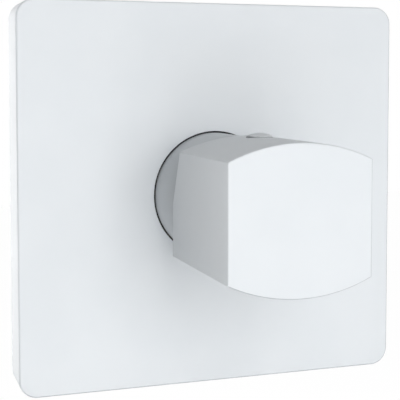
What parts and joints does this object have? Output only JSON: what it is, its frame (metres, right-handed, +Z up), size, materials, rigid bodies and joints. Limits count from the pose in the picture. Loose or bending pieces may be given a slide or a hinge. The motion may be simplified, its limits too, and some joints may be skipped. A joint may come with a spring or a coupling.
{
  "type": "concealed shower mixer",
  "caption": "Concealed shower mixer: square wall plate, round sleeve and arched block handle that lifts for flow and turns for temperature, with a brass valve body behind the plate.",
  "frame": {"origin": "where the handle's turning axis meets the finished wall", "axes": "+Y into the wall along the turning axis, -Y towards the user, +Z up, +X to the right as seen by the user"},
  "size_m": [0.155, 0.1591, 0.15],
  "materials": {
    "white_enamel": "smooth satin white enamel",
    "white_cap": "smooth moulded plastic",
    "black_rubber": "matt black moulded rubber",
    "grey_foam": "closed-cell foam",
    "black_plastic": "fine grained moulding",
    "grey_plastic": "glass-filled moulding",
    "white_plastic": "acetal moulding",
    "steel": "bright zinc plated",
    "cast_brass": "sand cast, machined at the seats",
    "turned_brass": "turned",
    "ceramic_white": "lapped alumina",
    "ceramic_grey": "lapped alumina"
  },
  "bodies": {
    "wall_unit": {"cover_plate": "white_enamel", "plate_gasket": "grey_foam", "plate_carrier": "black_plastic", "carrier_screws": "steel", "plate_seal": "black_rubber", "sleeve": "white_enamel", "dome_cap": "white_enamel", "sleeve_rings": "black_rubber", "valve_body": "cast_brass", "clamp_nut": "turned_brass", "cartridge_housing": "grey_plastic", "cartridge_base": "black_plastic", "port_seals": "black_rubber", "disc_seals": "black_rubber", "fixed_disc": "ceramic_white"},
    "rotor": {"turning_guide": "white_plastic", "pivot_pin": "steel"},
    "lever": {"handle": "white_enamel", "lever_spindle": "turned_brass", "grub_screw": "steel", "screw_plug": "white_cap"},
    "slider": {"moving_disc": "ceramic_grey", "disc_carrier": "white_plastic"}
  },
  "joints": [
    {"name": "temperature_turn", "type": "hinge", "parent": "wall_unit", "child": "rotor", "pos_m": [0, -0.0415, 0], "axis": [0, -1, 0], "range_deg": [-50, 50]},
    {"name": "lever_lift", "type": "hinge", "parent": "rotor", "child": "lever", "pos_m": [0, -0.0415, 0], "axis": [-1, 0, 0], "range_deg": [0, 22]},
    {"name": "disc_slide", "type": "slide", "parent": "rotor", "child": "slider", "axis": [0, 0, -1], "range_m": [0, 0.0038]}
  ],
  "couplings": [
    {"joint": "disc_slide", "follows": "lever_lift", "m_per_rad": 0.00985}
  ]
}
